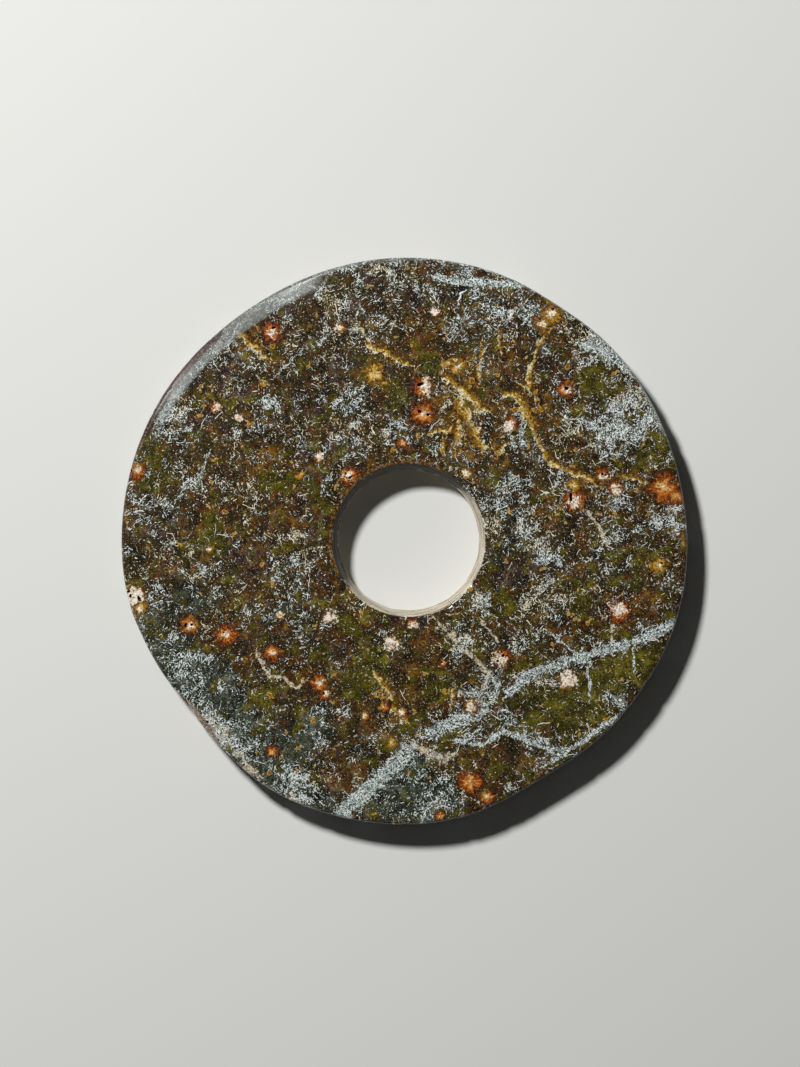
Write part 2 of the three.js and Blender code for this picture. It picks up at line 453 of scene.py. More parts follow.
# Each point knows how far out in the nearest spot it lies, and in which direction.
spot = np.full(count, 9.0)
heading = np.zeros((count, 3))
redness = np.zeros(count)
cream_share = np.zeros(count)
for sx, sy, reach, red, cream in SPOTS:
    offset = np.stack([x - sx, y - sy, 0.6 * deep], 1)
    apart = np.linalg.norm(offset, axis=1)
    closer = apart / reach < spot
    spot[closer] = apart[closer] / reach
    heading[closer] = (offset / np.maximum(apart, 0.01)[:, None])[closer]
    redness[closer] = red
    cream_share[closer] = cream
headings = mesh.attributes.new("heading", "FLOAT_VECTOR", "POINT")
headings.data.foreach_set("vector", heading.astype(np.float32).ravel())
field("spot", spot)
field("redness", redness)
field("cream_share", cream_share)
field("pit", pit_share)

# Milky zones (positive) and glassy ones (negative): x, y, reach, strength.
CLOUDS = [
    (25, 87, 12, 0.8), (64, 65, 8, 1.0), (76, 43, 9, 1.2), (68.6, 33.4, 7, 0.6), (40, 3, 10, 0.7),
    (47, -18, 8, 0.5), (89.5, 6, 5, 1.3), (68, 0, 6, 0.8), (-38.5, -10, 7, 0.8), (-25, 34, 7, 0.6),
    (-36, 34, 4, 0.4), (-18, 45, 5, 0.9), (-7.5, 38, 5, 0.6), (-22, 72, 6, 0.5), (-7, 72, 4, 0.5),
    (-3, 88, 5, 0.5), (-28, 84, 5, 0.6), (-15, 88, 4, 0.5), (-85, -18, 5, 0.8), (-73, -42, 9, 0.9),
    (-64, -60, 6, 0.9), (-37, -84, 8, 0.9), (20, -57, 7, 0.8), (48, -67, 6, 0.7), (10, -88, 7, 0.7),
    (38, -33, 5, 0.8), (-30, -63, 6, 0.4), (-70, 20, 4, 0.6), (-86, 15, 5, 0.6), (30, 12, 5, 0.6),
    (36, 20, 6, 0.4), (-81, 40, 7, 1.1), (43, 75, 5, 1.0), (32, 69, 4, 0.4), (25, 61, 4, 0.4),
    (-60, 57, 5, 0.5), (-47, 44, 5, 0.5), (-78, -2, 5, 0.6), (-68, -11, 4, 0.4), (37, 35, 4, 1.0),
    (51, 21, 5, 0.9), (56, 39, 5, 0.4), (85, 26, 5, 0.5), (71, 13, 5, 0.7), (47, -5, 5, 0.5),
    (25, -21, 5, 0.9), (18, -34, 5, 0.9), (27, -50, 5, 0.9), (35, -60, 6, 0.9), (46, -48, 4, 0.8),
    (80, -29, 5, 0.6), (64, -24, 4, 0.3), (69, -52, 5, 1.3), (60, -61, 4, 0.5), (10, -72, 5, 0.6),
    (36, -82, 5, 0.4), (-50, 60, 4, 0.3), (-2, -33, 4, 0.3), (3, 63, 9, -1.0), (-5, 48, 5, -0.9),
    (38, 61, 6, -0.6), (-48, 72, 6, -0.8), (-67, 6, 8, -0.8), (-26, 8, 6, -0.9), (2, -43, 13, -0.9),
    (-33, -50, 9, -0.9), (84, 17, 5, -0.9), (62, -26, 5, -0.7), (43, -57, 5, -0.8), (30, -75, 8, -0.9),
    (62, 55, 6, -0.4), (31, 28, 6, -0.5), (-25, -83, 5, -0.9), (64, -46, 6, -1.0), (80, -42, 7, -0.9),
    (-45, 12, 9, -0.4), (-55, -12, 8, -0.5), (80, -18, 6, -0.6), (-31, 75, 5, -0.6), (-43, 55, 5, -0.5),
    (-62, 41, 5, -0.6), (-67, 29, 5, -0.4), (22, 47, 6, -0.7), (46, 46, 5, -0.8), (64, 23, 4, -0.4),
    (57, 6, 5, -0.8), (34, -10, 6, -1.2), (83, -2, 5, -0.8), (56, -32, 4, -0.6), (29, -37, 3, -0.5),
    (52, -60, 4, -0.6), (-17, -64, 6, -0.7), (-37, -72, 6, -0.7), (-45, -66, 6, -0.7),
    (-57, -55, 6, -0.8), (-51, -37, 7, -1.1), (-71, -30, 4, -0.5), (-75, -16, 5, -0.5),
    (-84, -10, 4, -0.5), (-26, -15, 6, -0.8), (-16, -28, 5, -0.6), (-58, -66, 13, 0.6),
    (-34, -78, 9, 0.6), (9, -87, 8, 0.2), (75, 43, 9, 1.0),
]
GREEN_ZONES = [
    (80, -38, 6, 1.0), (70, -43, 7, 1.0), (60, -49, 7, 1.0), (46, -55, 9, 1.0), (66, -56, 6, 0.8),
    (57, -66, 6, 0.8), (14, -67, 6, 0.7), (-14, -46, 4.5, 1.3), (-45, -51, 5, 1.1), (-28, -38, 4, 0.7),
    (-9, -38, 3.5, 0.8), (-38, 21, 5, 0.8), (-83, 27, 7, 0.8), (82, 31, 7, 0.7), (76, -6, 8, 0.6),
    (60, -17, 6, 0.5), (30, -15, 6, 0.5), (-62, 0, 4, 0.8), (65, 50, 7, 0.5), (-61, -22, 5, 0.5),
    (-12, -92, 5, 0.7), (-10, -72, 5, 0.6), (43, -40, 4, 0.6), (8.4, 59, 4, 1.1), (-3, 48, 4.5, 1.1),
    (2, -60, 3, 0.6), (-17, -44, 6, 0.9), (-20, -28, 4.5, 1.0), (-8, -38, 4, 0.8), (10, -48, 6, 1.0),
    (-27, 10, 5, 1.0), (-65, 2, 5, 0.8), (-43, 20, 5, 0.7), (34, -22, 4, 1.0), (58, -23, 4.5, 0.8),
    (84, 30, 6, 0.6), (65, 54, 7, 0.6), (20, 52, 6, 0.5),
]
RUSSET_ZONES = [
    (3, 68, 6, 1.0), (35, 64, 6, 0.9), (14, 57, 7, 0.6), (20, 49, 8, 0.6), (42, 48, 7, 0.6),
    (18, 33, 7, 0.8), (-46, 26, 8, 0.8), (-42, 9, 7, 1.0), (-66, 10, 8, 0.9), (-53, -6, 7, 0.7),
    (-28, -10, 6, 0.9), (-18, -35, 6, 0.9), (-6, -27, 5, 0.8), (8, -44, 8, 1.2), (-5, -50, 5, 0.8),
    (53, -30, 6, 0.9), (78, -22, 6, 1.0), (62, -24, 5, 0.7), (23, -80, 7, 1.1), (-26, -74, 5, 0.9),
    (-21, -82, 5, 0.9), (-35, -46, 6, 0.8), (-50, -36, 5, 0.8), (57, 28, 6, 0.6), (44, -73, 7, 0.7),
    (60, 13, 8, 0.7), (86, 18, 6, 1.0), (-52, 70, 6, 0.4), (-7, 45, 5, 0.9), (-55, 42, 6, 0.5),
]
AMBER_ZONES = [
    (21, 54, 8, 1.0), (7, 45, 8, 0.8), (18, 36, 8, 1.0), (42, 46, 6, 0.8), (-7, 60, 7, 0.9),
    (57, 17, 8, 0.9), (70, 20, 6, 1.0), (-49, 68, 5, 0.8), (-2, -57, 5, 1.0), (-29, -48, 6, 0.9),
    (-6, -50, 5, 0.8), (-60, -31, 4, 0.8), (86, 18, 7, 1.0), (-19, 22, 4, 0.9), (31, 30, 5, 0.7),
    (-44, -38, 4, 0.8), (48, 74, 5, 0.8), (84, -8, 4, 0.8), (-36, 21, 3, 0.8), (43, 60, 5, 0.6),
    (23, -84, 6, 0.7), (12, -92, 3, 0.8), (-72, -28, 3, 0.7), (-11, 31, 3, 0.7), (-90, 22, 3, 0.8),
    (36, -36, 4, 0.4), (66, 8, 4, 0.6), (15, -50, 3, 0.5), (-15, -28, 4, 0.4),
]
PLUM_ZONES = [
    (-80, 9, 6, 1.0), (38, -10, 5, 1.2), (-48, -8, 8, 0.8), (-60, 60, 8, 0.9), (-72, -28, 6, 0.8),
    (-35, 78, 8, 0.7), (-20, 62, 8, 0.7), (-58, 46, 6, 0.6), (38, 36, 5, 0.5), (60, 8, 5, 0.6),
    (72, -24, 6, 0.7), (-30, 30, 6, 0.5), (-10, 85, 8, 0.5), (-86, 3, 6, 0.5), (32, -40, 5, 0.6),
    (0, 34, 5, 0.6), (-24, 80, 6, 0.5),
]
SLATE_ZONES = [
    (-80, -42, 12, 1.1), (-64, -48, 10, 0.8), (-62, -64, 12, 1.1), (-44, -74, 12, 1.1),
    (-30, -62, 8, 0.9), (-28, -90, 8, 0.9), (-5, -86, 10, 1.0), (10, -90, 8, 0.9), (2, -76, 7, 0.8),
    (-72, -20, 8, 0.8), (-88, -24, 6, 0.5), (20, -60, 7, 0.5), (60, -37, 6, 0.5), (78, -33, 6, 0.6),
    (36, 4, 8, 0.6), (30, -8, 6, 0.4), (50, -8, 8, 0.4), (-38, -10, 6, 0.5), (-40, -24, 6, 0.5),
    (55, -72, 6, 0.4), (-20, 46, 5, 0.5), (20, 87, 8, 0.6), (-70, 62, 6, 0.6), (-84, 42, 6, 0.6),
    (-60, -14, 6, 0.4), (14, -84, 6, 0.5),
]


def sum_of_zones(zones):
    total = np.zeros(count)
    for zx, zy, reach, strength in zones:
        total += strength * np.exp(-((vein_x - zx) ** 2 + (vein_y - zy) ** 2) / reach ** 2)
    return np.clip(total, -1.2, 1.2)


field("milk", sum_of_zones(CLOUDS))
field("green", sum_of_zones(GREEN_ZONES))
field("russet", sum_of_zones(RUSSET_ZONES))
field("amber", sum_of_zones(AMBER_ZONES))
field("plum", sum_of_zones(PLUM_ZONES))
field("slate", sum_of_zones(SLATE_ZONES))
rim_here = np.interp(np.degrees(np.arctan2(y, x)), SPOKES, OUTLINE, period=360)
inwards = rim_here - np.hypot(x, y)
on_top = smooth(z, THICKNESS / 2, THICKNESS / 2 + 2)


def arc(turn, start, end, soft):
    """1 between two angles round the disc, counted on from start, with soft ends."""
    middle, half = (start + end) / 2, (end - start) / 2
    return smooth(half - np.abs((turn - middle + 180) % 360 - 180), -soft, soft)


# The bevel is frosted, with a brown strip along the outer half of one end of it. The frost lies only on the
# upper edges that face the lamp, and its whitish colour is partly a painted highlight.
FAINT_FROST_AND_SHEEN = 0.8
RIM_WEAR = 0.55
bevel_turn = np.degrees(np.arctan2(y, x))
on_bevel = smooth(BEVEL[2] + 0.9 - inwards, 0, 0.8)
frost = arc(bevel_turn, 108, 133, 5) * on_bevel
frost = np.maximum(frost, arc(bevel_turn, 128, 156, 5) * smooth(inwards, 2.0, 2.8) * on_bevel)
frost = np.maximum(frost, FAINT_FROST_AND_SHEEN * arc(bevel_turn, 84, 112, 6) * smooth(2.2 - inwards, 0, 1.2))
frost = np.maximum(frost, FAINT_FROST_AND_SHEEN * arc(bevel_turn, 18, 90, 8) * smooth(1.2 - inwards, 0, 0.7))
field("frost", frost * on_top)
in_strip = smooth(inwards, 0.2, 0.6) * smooth(3.0 - inwards, 0, 0.8)
field("strip", arc(bevel_turn, 131, 159, 4) * in_strip * on_top)
worn_bevel = bell(bevel_turn, BEVEL[0], BEVEL[1]) * smooth(BEVEL[2] + 0.9 - inwards, 0, 0.5) * 1.3
field("worn", np.maximum(worn_bevel, RIM_WEAR * smooth(1.8 - inwards, 0, 0.8)) * on_top)

# The chip's ledges are bare, and the rim of each one is bruised pale.
field("chip", np.clip(scallop * 5, 0, 1))
field("bruise", smooth(np.abs(stair - level - 0.75), 0.32, 0.10) * (stair > 0))

# The bore's wall is bare pale stone, and brown stains one side of its lip. The upper wall on the side away
# from the lamp is painted dark: painted shade.
bore_x, bore_y = x - HOLE_CENTRE[0], y - HOLE_CENTRE[1]
bore_away = np.hypot(bore_x, bore_y)
bore_turn = np.degrees(np.arctan2(bore_y, bore_x))
field("bore", smooth(MOUTH_RADIUS + 0.12 - bore_away, 0, 0.25) * smooth(THICKNESS - z, 0.02, 0.3))
field("stain", arc(bore_turn, 62, 208, 12) * smooth(MOUTH_RADIUS + 2.4 - bore_away, 0, 2.0) * on_top)
# Painted shade: the upper wall of the bore on the side away from the lamp, from 42 to 216 degrees.
field("soaked", arc(bore_turn, 42, 216, 14) * smooth(z, RIDGE_HEIGHT - 0.5, RIDGE_HEIGHT + 1.5))


class Value:
    """A socket of a material's nodes, on which sums are written as Python."""

    def __init__(self, finish, socket):
        self.finish = finish
        self.socket = socket

    def maths(self, operation, *values):
        return self.finish.node("ShaderNodeMath", {"operation": operation}, *values)

    def __add__(self, other):
        return self.maths("ADD", self, other)

    def __sub__(self, other):
        return self.maths("SUBTRACT", self, other)

    def __rsub__(self, other):
        return self.maths("SUBTRACT", other, self)

    def __mul__(self, other):
        return self.maths("MULTIPLY", self, other)

    def __truediv__(self, other):
        return self.maths("DIVIDE", self, other)

    __radd__ = __add__
    __rmul__ = __mul__

    def beside(self, name):
        """Another output of the same node."""
        return Value(self.finish, self.socket.node.outputs[name])

    def size(self):
        return self.maths("ABSOLUTE", self)

    def greatest(self, other):
        return self.maths("MAXIMUM", self, other)

    def least(self, other):
        return self.maths("MINIMUM", self, other)


class Finish:
    """One material, made node by node."""

    def __init__(self, name):
        self.material = bpy.data.materials.new(name)
        self.material.use_nodes = True
        self.tree = self.material.node_tree
        self.tree.nodes.clear()

    def node(self, kind, settings, *values, out=0, **named):
        """Adds a node, sets it up, and gives each socket its value or link: by order, or by name."""
        made = self.tree.nodes.new(kind)
        for setting, value in settings.items():
            if setting == "stops":
                marks = made.color_ramp.elements
                while len(marks) < len(value):
                    marks.new(1.0)
                for stop, (position, colour) in zip(marks, value):
                    stop.position = position
                    stop.color = colour
            else:
                setattr(made, setting, value)
        wanted = list(enumerate(values)) + [(n.replace("_", " "), v) for n, v in named.items()]
        for where, value in wanted:
            socket = made.inputs[where]
            if isinstance(value, Value):
                self.tree.links.new(value.socket, socket)
            elif value is not None:
                socket.default_value = value
        return Value(self, made.outputs[out]) if made.outputs else None

    def field(self, name, out="Fac"):
        return self.node("ShaderNodeAttribute", {"attribute_name": name}, out=out)

    def noise(self, where, scale, detail=2.0, roughness=0.5, out="Fac", push=0.0):
        if push:
            where = self.vector("ADD", where, (push / scale, push / scale, push / scale))
        return self.node("ShaderNodeTexNoise", {}, out=out, Vector=where, Scale=scale, Detail=detail,
                         Roughness=roughness)

    def ramp(self, stops, value):
        return self.node("ShaderNodeValToRGB", {"stops": stops}, value)

    def times(self, vector, factor):
        return self.node("ShaderNodeVectorMath", {"operation": "SCALE"}, vector, Scale=factor)

    def vector(self, operation, *values, out="Vector"):
        return self.node("ShaderNodeVectorMath", {"operation": operation}, *values, out=out)

    def ease(self, value, low, high):
        """0 at low and 1 at high, with an S-curve between them; low may be the greater."""
        kind = {"interpolation_type": "SMOOTHSTEP"}
        return self.node("ShaderNodeMapRange", kind, value, low, high, 0.0, 1.0)

    def blend(self, share, first, second):
        return self.node("ShaderNodeMix", {"data_type": "RGBA"}, share, None, None, None, None, None,
                         first, second, out=2)


def shade(red, green, blue):
    """A colour given as it looks on a screen, 0 to 255, as the linear one that a shader takes."""
    seen = [level / 255 for level in (red, green, blue)]
    linear = [((c + 0.055) / 1.055) ** 2.4 if c > 0.0405 else c / 12.92 for c in seen]
    return (*linear, 1.0)


def stops(*marks):
    """A ramp's stops: where each one stands, and how its colour looks on a screen."""
    return [(place, shade(*colour)) for place, *colour in marks]


jade = Finish("jade")
metres = jade.node("ShaderNodeTexCoord", {}, out="Object")
where = jade.times(metres, 1 / MM)
drift = jade.vector("SUBTRACT", jade.noise(where, 0.22, 2, 0.6, out="Color"), (0.5, 0.5, 0.5))
flow = jade.vector("SUBTRACT", jade.noise(where, 0.07, 1, 0.5, out="Color"), (0.5, 0.5, 0.5))
curled = jade.vector("ADD", where, jade.times(drift, 1.6))
bent = jade.vector("ADD", where, jade.times(drift, 6.0))
grit = jade.noise(where, 1.6, 3, 0.8)
fray = grit - 0.5
blotch = jade.noise(where, 0.5, 2, 0.6, push=12.0) - 0.5
streaky = jade.noise(curled, 1.1, 3, 0.75, push=5.0)
mist = jade.noise(curled, 1.1, 3, 0.75, push=20.0)

# The glassy ground: wide brown, russet, olive and plum patches with dark grit, and grey-green slate
# where it is altered.
patches = jade.noise(bent, 0.22, 4, 0.66)
tone = patches * 0.74 + grit * 0.26
BROWN = stops((0.37, 20, 14, 5), (0.46, 46, 35, 11), (0.54, 68, 52, 18), (0.64, 100, 80, 36))
RUSSET = stops((0.37, 26, 12, 4), (0.46, 60, 34, 9), (0.54, 88, 52, 14), (0.64, 128, 82, 28))
HONEY = stops((0.37, 48, 28, 3), (0.46, 84, 55, 6), (0.54, 114, 80, 12), (0.64, 150, 114, 34))
OLIVE = stops((0.37, 30, 26, 3), (0.46, 62, 55, 4), (0.54, 90, 81, 8), (0.64, 124, 114, 26))
PLUM = stops((0.37, 22, 14, 17), (0.46, 44, 32, 34), (0.54, 70, 54, 50), (0.64, 116, 98, 92))
SLATE = stops((0.37, 16, 20, 13), (0.46, 40, 48, 35), (0.54, 70, 81, 66), (0.64, 116, 129, 114))
DUN = stops((0.37, 24, 21, 10), (0.46, 52, 48, 31), (0.54, 88, 84, 62), (0.64, 138, 134, 112))
HOAR = stops((0.37, 44, 53, 47), (0.46, 94, 103, 96), (0.54, 142, 151, 144), (0.64, 190, 197, 189))
CHALK = stops((0.37, 50, 47, 32), (0.46, 102, 100, 82), (0.54, 154, 153, 134), (0.64, 202, 202, 184))
green = jade.ease(jade.field("green") * 0.28 + jade.noise(bent, 0.18, 2, 0.5, push=40.0), 0.57, 0.66)
russet = jade.ease(jade.field("russet") * 0.14 + jade.noise(bent, 0.30, 2, 0.5, push=51.0), 0.52, 0.62)
honey = jade.field("russet") * 0.10 + jade.field("amber") * 0.14
honey = jade.ease(honey + jade.noise(bent, 0.24, 2, 0.5, push=7.0), 0.58, 0.68)
plum = jade.ease(jade.field("plum") * 0.20 + jade.noise(bent, 0.20, 2, 0.5, push=90.0), 0.58, 0.68)
slate = jade.ease(jade.field("slate") * 0.40 + jade.noise(bent, 0.14, 3, 0.6, push=91.0) * 0.6, 0.40, 0.62)
ground = jade.blend(russet, jade.ramp(BROWN, tone), jade.ramp(RUSSET, tone))
ground = jade.blend(honey, ground, jade.ramp(HONEY, tone))
ground = jade.blend(plum * 0.65, ground, jade.ramp(PLUM, tone))
ground = jade.blend(slate * 0.8, ground, jade.ramp(SLATE, tone))
ground = jade.blend(green, ground, jade.ramp(OLIVE, tone))

# Small amber patches, golden to orange, gather about the seams and spots, and are pale at the rim.
AMBER_FROM = 0.68
waver = jade.noise(where, 0.30, 2, 0.6, push=81.0) - 0.5
amber = jade.noise(curled, 0.28, 2, 0.6, push=70.0) + jade.field("amber") * 0.12
in_amber = jade.ease(amber, AMBER_FROM, 0.72)
AMBER = stops((0.0, 250, 234, 190), (0.12, 238, 202, 112), (0.3, 196, 140, 36), (0.6, 146, 88, 12),
              (1.0, 96, 50, 8))
ground = jade.blend(in_amber * 0.9, ground, jade.ramp(AMBER, (amber - AMBER_FROM) * 6 + fray * 0.6))


def band(name, swing, ragged):
    """How deep inside a wavering line each point is: 1 on its middle, 0 at its side, and less beyond."""
    off_middle = (jade.field(name + "_across") + waver * swing).size()
    off_middle = off_middle.greatest(jade.field(name + "_apart") - 2.0)
    return 1 - off_middle / jade.field(name + "_half") + fray * ragged + blotch * ragged * 1.5


# The felt of pale fibres, thick in the veins and clouds and thin in the glassy places.
vein = band("vein", 3.0, 1.2)
cloud = jade.noise(bent, 0.27, 4, 0.68, push=80.0) * 0.8 + jade.noise(where, 0.10, 2, 0.5, push=25.0) * 0.2
frost = jade.field("frost")
# The frost, partly a painted highlight, thickens the pale felt on the lamp-facing edges.
milk = jade.field("milk") + frost * 0.6 - jade.field("strip") - green * 0.5
density = 0.03 + jade.ease(cloud + milk * 0.12, 0.45, 0.72) * 0.9
in_vein = jade.ease(vein, -0.35, 0.4)
density = density.greatest(in_vein)
haze = tone * 0.4 + mist * 0.6
ground = jade.blend(jade.ease(density, 0.12, 0.6) * 0.75, ground,
                    jade.blend(slate, jade.ramp(DUN, haze), jade.ramp(SLATE, haze)))
hoary = slate.greatest(jade.ease(vein, -0.2, 0.3))
ground = jade.blend(jade.ease(density, 0.65, 1.0) * (0.6 + in_vein * 0.2), ground,
                    jade.blend(hoary, jade.ramp(CHALK, mist), jade.ramp(HOAR, mist)))


def fibres(cell, half, length, push):
    """Thin flakes at every angle, cut by the stone's surface as short lines, and their dark borders."""
    shifted = jade.vector("ADD", curled, (push, push * 0.7, push * 1.3))
    kind = {"voronoi_dimensions": "3D", "feature": "F1"}
    middle = jade.node("ShaderNodeTexVoronoi", kind, out="Position", Vector=shifted, Scale=1 / cell)
    chance = middle.beside("Color")
    centred = jade.vector("SUBTRACT", chance, (0.5, 0.5, 0.5))
    lean = jade.vector("ADD", centred, jade.times(flow, 1.1))
    lean = jade.vector("NORMALIZE", jade.vector("MULTIPLY", lean, (1.0, 1.0, 0.4)))
    offset = jade.vector("SUBTRACT", shifted, middle)
    off_plane = jade.vector("DOT_PRODUCT", offset, lean, out="Value").size()
    apart = middle.beside("Distance") * cell
    strength = jade.node("ShaderNodeSeparateColor", {}, chance, out="Blue")
    here = jade.ease(density * 0.7 - strength, -0.08, 0.08) * jade.ease(apart, length, length * 0.5)
    bright = jade.node("ShaderNodeSeparateColor", {}, chance, out="Green")
    line = jade.ease(off_plane, half, half * 0.4) * here * (0.30 + bright * bright * 1.6)
    return line, jade.ease(off_plane, half * 3.6, half * 1.6) * here


felt, hollow = fibres(1.1, 0.095, 1.0, 0.0)
for cell, half, length, push in (
    (1.6, 0.10, 1.5, 17.0),
    (2.3, 0.11, 2.3, 31.0),
    (0.8, 0.09, 0.7, 53.0),
    (4.5, 0.11, 4.6, 113.0),
):
    line, border = fibres(cell, half, length, push)
    felt = felt.greatest(line)
    hollow = hollow.greatest(border)

# Between the fibres the felt is a fine lace of pale grains and dark gaps.
salt = jade.noise(curled, 1.7, 2, 0.75, push=140.0) + density * 0.20
pepper = jade.noise(curled, 1.9, 2, 0.75, push=150.0)
felt = felt.greatest(jade.ease(salt, 0.63, 0.72) * (0.20 + jade.ease(pepper, 0.42, 0.62) * 1.1))
felt = felt * (0.65 + jade.ease(mist, 0.38, 0.62) * 0.7) * (1 - in_vein * 0.3)
hollow = hollow.greatest(jade.ease(pepper, 0.49, 0.40) * jade.ease(density, 0.1, 0.45) * 1.6)
COOL = stops((0.0, 54, 63, 58), (0.22, 114, 128, 123), (0.45, 181, 195, 190), (0.7, 247, 252, 248))
WARM = stops((0.0, 70, 60, 34), (0.22, 138, 124, 86), (0.45, 206, 192, 152), (0.7, 254, 246, 222))
GILT = stops((0.0, 80, 52, 20), (0.22, 152, 112, 62), (0.45, 212, 180, 126), (0.7, 254, 236, 200))
coolness = hoary.greatest(frost)
warmth = jade.ease(jade.noise(where, 0.07, 3, 0.7) - milk * 0.03 - coolness * 0.3, 0.43, 0.64)
fibre = jade.blend(warmth, jade.ramp(COOL, felt), jade.ramp(WARM, felt))
gilded = jade.ease(jade.field("amber") * 0.5 + in_amber * 0.4 + patches * 0.3, 0.3, 0.8)
fibre = jade.blend(gilded * 0.8, fibre, jade.ramp(GILT, felt))

# Golden seams with broken cream margins, and cream seams.
GOLD = stops((0.05, 252, 242, 206), (0.20, 234, 202, 110), (0.38, 192, 148, 36), (0.65, 140, 96, 14),
             (1.0, 72, 46, 10))
CREAM = stops((0.38, 140, 108, 66), (0.46, 206, 184, 140), (0.56, 248, 240, 216))
seam = band("gold", 3.6, 3.4)
in_seam = jade.ease(seam, -0.5, 0.1)
across = (jade.field("gold_across") + waver * 3.6) / jade.field("gold_half") * 0.45 + 0.58
ground = jade.blend(in_seam * 0.95, ground, jade.ramp(GOLD, across + (streaky - 0.5) * 2.6 + fray * 1.0))
cream = jade.ease(band("cream", 3.4, 3.2), -0.3, 0.3)
ground = jade.blend(cream * 0.85, ground, jade.ramp(CREAM, streaky))

# Spots about weathered grains: a crumbling cream heart, rays of gold and rust round it, and a dark rim.
spot = jade.field("spot")
redness = jade.field("redness")
cream_share = jade.field("cream_share")
heading = jade.field("heading", out="Vector")
rays = jade.noise(jade.vector("ADD", jade.times(heading, 2.6), jade.times(where, 0.35)), 1.0, 3, 0.75)
lopsided = jade.vector("SUBTRACT", jade.noise(where, 0.06, 1, 0.5, out="Color", push=44.0), (0.5, 0.5, 0.5))
facing = jade.vector("DOT_PRODUCT", heading, lopsided, out="Value") * 3.5
edge = spot + blotch * 1.6 + (rays - 0.5) * 1.2 + fray * 0.8
GOLD_RINGS = stops((0.06, 248, 226, 160), (0.32, 208, 164, 58), (0.68, 146, 104, 26),
                   (1.02, 50, 38, 12))
RUST_RINGS = stops((0.12, 240, 192, 116), (0.38, 206, 116, 30), (0.68, 138, 62, 12), (0.98, 42, 20, 10))
ringed = spot + (rays - 0.5) * 1.8 + blotch * 1.2 + fray * 1.0
rusty = jade.ease(redness + facing * 0.5 + blotch * 1.4, 0.15, 0.75)
rust = jade.blend(rusty, jade.ramp(GOLD_RINGS, ringed), jade.ramp(RUST_RINGS, ringed))
RIM_BROWN = shade(38, 19, 13)
rim = jade.ease(edge, 1.45, 1.0) * jade.ease(redness, 0.1, 0.5) * 0.75
ground = jade.blend(rim, ground, RIM_BROWN)
in_spot = jade.ease(edge, 1.04, 0.86)
ground = jade.blend(in_spot * 0.95, ground, rust)
HEART = stops((0.36, 120, 74, 40), (0.44, 206, 180, 146), (0.54, 252, 246, 232))
crumbling = (blotch * 2.2 + fray * 2.2) * cream_share.least(0.5) * 1.6
heart_edge = spot * (1 + facing * 0.5) - cream_share * 0.8 + crumbling
in_heart = jade.ease(heart_edge, 0.02, -0.04)
ground = jade.blend(in_heart, ground, jade.ramp(HEART, jade.noise(where, 1.3, 3, 0.75)))

# The frosted bevel, whose frost is partly a painted highlight, the brown strip along it, the bare chip, the
# stained lip and the bare wall of the bore.
FROST_AND_SHEEN = stops((0.36, 58, 64, 60), (0.5, 100, 107, 102), (0.62, 158, 162, 155))
STRIP = stops((0.36, 16, 8, 5), (0.5, 52, 28, 18), (0.62, 110, 78, 58))
LIP = stops((0.36, 38, 18, 5), (0.5, 94, 56, 16), (0.62, 170, 124, 50))
# Whitish frost on the lamp-facing edges: partly frosted stone, partly a painted highlight.
frost_and_sheen_mask = jade.ease(frost + blotch * 1.4 + fray * 0.8, 0.2, 0.9)
ground = jade.blend(frost_and_sheen_mask * 0.8, ground, jade.ramp(FROST_AND_SHEEN, mist * 0.5 + patches * 0.5))
CHIPPED = stops((0.34, 58, 40, 28), (0.48, 142, 108, 80), (0.60, 218, 188, 156))
BRUISED = stops((0.40, 196, 160, 130), (0.52, 246, 230, 210), (0.62, 254, 250, 242))
chipped = jade.ease(jade.field("chip") + blotch * 1.0 + fray * 0.8, 0.15, 0.45)
bruised = jade.ease(jade.field("bruise") + blotch * 1.6 + fray * 1.0, 0.45, 0.75)
ledges = jade.blend(bruised, jade.ramp(CHIPPED, streaky), jade.ramp(BRUISED, streaky))
ground = jade.blend(chipped * 0.95, ground, ledges)
stripped = jade.ease(jade.field("strip") + blotch * 1.2 + fray * 0.8, 0.3, 0.6)
ground = jade.blend(stripped * 0.9, ground, jade.ramp(STRIP, streaky))
stained = jade.ease(jade.field("stain") + blotch * 1.6 + fray * 0.8, 0.35, 0.75)
ground = jade.blend(stained * 0.8, ground, jade.ramp(LIP, streaky))

# Fibres lie over it all, thinner over the spots, and then come the pale specks and the pits, whose
# near-black is partly their own dark inside and partly painted shade.
gap = jade.ease(jade.noise(where, 1.3, 2, 0.6, push=33.0), 0.44, 0.35)
fine_gap = jade.ease(jade.noise(where, 2.6, 1, 0.5, push=36.0), 0.42, 0.30)
GAP_BROWN = shade(13, 10, 7)
dark = gap.greatest(fine_gap * 0.8).greatest((hollow * 0.6).least(1.0))
dark = dark * (1 - in_heart) * (1 - frost_and_sheen_mask * 0.6)
ground = jade.blend(dark * 0.8, ground, GAP_BROWN)
SPECK_CREAM = shade(212, 204, 176)
specks = jade.ease(jade.noise(where, 2.1, 2, 0.6, push=60.0), 0.64, 0.74) * 0.7
bare = 1 - (in_spot * 0.93).greatest(in_seam * 0.85).greatest(stripped * 0.7).greatest(stained * 0.6)
bare = bare * (1 - frost_and_sheen_mask * 0.5) * (1 - in_amber * 0.8) * (1 - chipped * 0.9)
colour = jade.blend(jade.ease(felt, 0.03, 0.35) * bare, ground, fibre)
colour = jade.blend(specks, colour, SPECK_CREAM)
